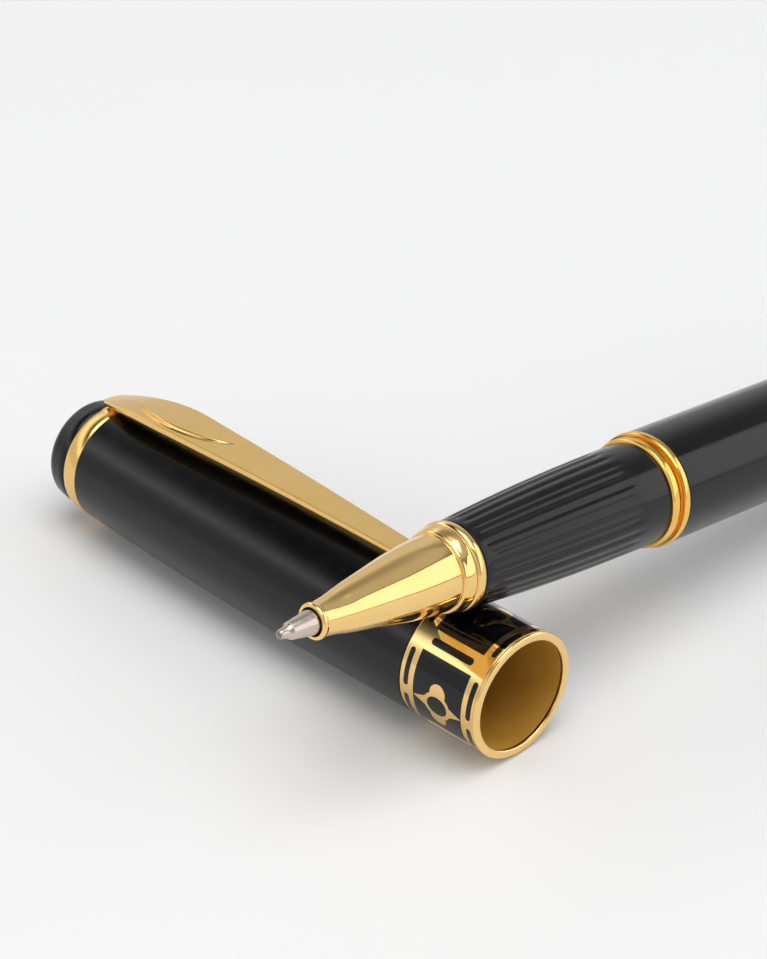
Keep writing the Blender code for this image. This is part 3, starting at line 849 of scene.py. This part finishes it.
def make_cap():
    """Visible and hidden turned pieces of the cap."""
    turned("cap_lip_ring", CAP, ["gold"], edge=0.05)
    make_band()
    turned("cap_tube", CAP, ["lacquer", "lining"], edge=0.05, inner=CAP_LINING)
    turned("clip_ring", CAP, ["satin"], shape=lug)
    turned("cap_finial", CAP, ["button"], edge=0.1)
    turned("cap_liner", CAP, ["liner"], PLAIN)
    turned("cap_bush", CAP, ["brass"], PLAIN)
    turned("cap_screw", CAP, ["steel"], PLAIN)
    make_clip()
    make_clip_pad()


def make_pen():
    """Turned pieces of the section, refill and barrel."""
    turned("nose_cone", PEN, ["gold"], edge=0.05)
    turned("nose_ring", PEN, ["gold"], edge=0.05)
    make_grip()
    make_core()
    turned("section_ring", PEN, ["deep_gold"], edge=0.04)
    turned("barrel_ring", PEN, ["deep_gold"], edge=0.05)
    turned("barrel_tube", PEN, ["lacquer", "brass"], edge=0.05, inner=BARREL_LINING)
    turned("tail_ring", PEN, ["deep_gold"])
    turned("tail_finial", PEN, ["button"], edge=0.1)
    turned("refill_tip", PEN, ["nickel"], PLAIN, 0.02)
    turned("refill_shoulder", PEN, ["refill"], PLAIN)
    turned("refill_tube", PEN, ["steel"], PLAIN)
    turned("refill_plug", PEN, ["refill"], PLAIN)
    turned("refill_wick", PEN, ["wick"], PLAIN)
    turned("barrel_insert", PEN, ["brass"], PLAIN)
    turned("tail_bush", PEN, ["brass"], PLAIN)
    turned("tail_screw", PEN, ["steel"], PLAIN)
    for node, mat in (("writing_ball", "ball"), ("refill_spring", "steel")):
        frame["nodes"][node].data.materials.clear()
        frame["nodes"][node].data.materials.append(MATS[mat])
        frame["nodes"][node].data.shade_smooth()


# ---------------------------------------------------------------- studio


def make_camera():
    """Camera at the viewing angle of the reference."""
    turn, lift = math.radians(CAMERA_AZIMUTH), math.radians(CAMERA_ELEVATION)
    ahead = Vector((math.cos(turn) * math.cos(lift), math.sin(turn) * math.cos(lift), -math.sin(lift)))
    mouth = CAP.translation
    target = Vector((mouth.x, mouth.y, 0.0)) + CAMERA_AIM
    data = bpy.data.cameras.new("camera")
    data.sensor_fit = "HORIZONTAL"
    data.sensor_width = SENSOR
    data.lens = LENS
    data.clip_start = 0.01
    data.clip_end = 20.0
    camera = bpy.data.objects.new("camera", data)
    camera.location = target - ahead * CAMERA_DISTANCE
    camera.rotation_euler = ahead.to_track_quat("-Z", "Y").to_euler()
    bpy.context.scene.collection.objects.link(camera)
    bpy.context.scene.camera = camera


def make_floor():
    """Pale seamless floor."""
    mesh = bpy.data.meshes.new("floor")
    shape = bmesh.new()
    bmesh.ops.create_grid(shape, x_segments=8, y_segments=8, size=FLOOR_HALF)
    shape.to_mesh(mesh)
    shape.free()
    mat, tree, shader, place = node_material("floor_paper", (0.86, 0.86, 0.865), 0.6, 0.0)
    tint(tree, noise(tree, place, 60.0), shader, (0.86, 0.86, 0.865), (0.87, 0.87, 0.872))
    mesh.materials.append(mat)
    floor = bpy.data.objects.new("floor", mesh)
    floor.location.z = -FLOOR_DROP
    bpy.context.scene.collection.objects.link(floor)


def ramp_of(tree, value, stops):
    """Brightness that follows a list of (position, brightness)."""
    ramp = tree.nodes.new("ShaderNodeValToRGB")
    elements = ramp.color_ramp.elements
    for position, level in stops[2:]:
        elements.new(position)
    for element, (position, level) in zip(elements, stops):
        element.position = position
        element.color = (level, level, level, 1.0)
    tree.links.new(value, ramp.inputs["Fac"])
    return ramp.outputs["Color"]


def math_node(tree, operation, first, second):
    """A Math node on sockets or numbers."""
    node = tree.nodes.new("ShaderNodeMath")
    node.operation = operation
    for socket, value in zip(node.inputs, (first, second)):
        if isinstance(value, (int, float)):
            socket.default_value = value
        else:
            tree.links.new(value, socket)
    return node.outputs[0]


def make_world():
    """White studio: a sharp panel at the right, a soft one at the left, dim above, bright on top."""
    world = bpy.data.worlds.new("studio")
    bpy.context.scene.world = world
    world.use_nodes = True
    tree = world.node_tree
    background = tree.nodes["Background"]
    place = tree.nodes.new("ShaderNodeTexCoord")
    split = tree.nodes.new("ShaderNodeSeparateXYZ")
    tree.links.new(place.outputs["Generated"], split.inputs[0])
    height = split.outputs["Z"]
    turn = math.radians(CAMERA_AZIMUTH - 90.0)
    right = Vector((math.cos(turn), math.sin(turn), 0.0))
    dot = tree.nodes.new("ShaderNodeVectorMath")
    dot.operation = "DOT_PRODUCT"
    dot.inputs[1].default_value = right
    tree.links.new(place.outputs["Generated"], dot.inputs[0])
    side = dot.outputs["Value"]
    right_share = ramp_of(tree, side, SIDE_EDGE)
    left_share = ramp_of(tree, math_node(tree, "MULTIPLY", side, -1.0), SIDE_EDGE)
    both = math_node(tree, "ADD", right_share, left_share)
    skies = (
        (ramp_of(tree, side, RIGHT_EDGE), RIGHT_SKY),
        (ramp_of(tree, side, PANEL_EDGE), PANEL_SKY),
        (left_share, LEFT_SKY),
        (math_node(tree, "SUBTRACT", 1.0, both), MIDDLE_SKY),
    )
    total = 0.0
    for share, levels in skies:
        part = math_node(tree, "MULTIPLY", share, ramp_of(tree, height, levels))
        total = math_node(tree, "ADD", part, total)
    tree.links.new(math_node(tree, "MULTIPLY", total, SKY_LEVEL), background.inputs["Color"])


def make_lights():
    """Large soft light overhead."""
    data = bpy.data.lights.new("ceiling", "AREA")
    data.shape = "RECTANGLE"
    data.size = CEILING_SIZE
    data.size_y = CEILING_SIZE
    data.energy = CEILING_POWER
    light = bpy.data.objects.new("ceiling", data)
    light.location = CEILING_PLACE
    light.rotation_euler = (-CEILING_PLACE).to_track_quat("-Z", "Y").to_euler()
    bpy.context.scene.collection.objects.link(light)


make_camera()
make_cap()
make_pen()
make_floor()
make_world()
make_lights()
bpy.context.scene.view_settings.view_transform = "Standard"
